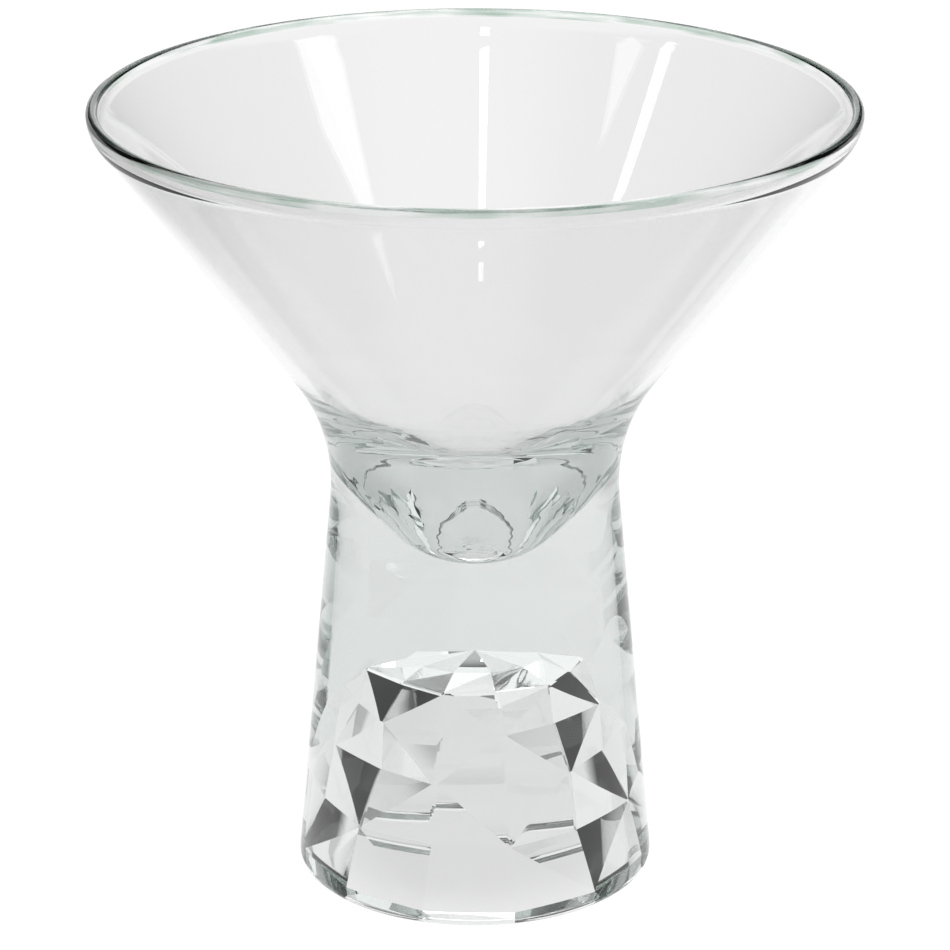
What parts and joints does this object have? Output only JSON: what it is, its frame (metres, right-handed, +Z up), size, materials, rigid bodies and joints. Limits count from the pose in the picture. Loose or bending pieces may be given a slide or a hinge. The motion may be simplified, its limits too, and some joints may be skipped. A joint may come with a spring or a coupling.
{
  "type": "martini glass",
  "caption": "Clear pressed-glass martini glass with a wide conical bowl, a rounded rim and a thick tapered foot hollowed from below by a diamond-faceted punt.",
  "frame": {"origin": "centre of the foot's resting face, on the table", "axes": "+Z up along the axis of the glass; -Y is the side that faces the viewer; +X to the viewer's right"},
  "size_m": [0.116, 0.116, 0.1238],
  "materials": {
    "clear_glass": "clear with a faint green tint, fire-polished gloss"
  },
  "bodies": {
    "root": {"bowl": "clear_glass", "foot": "clear_glass"}
  },
  "joints": []
}
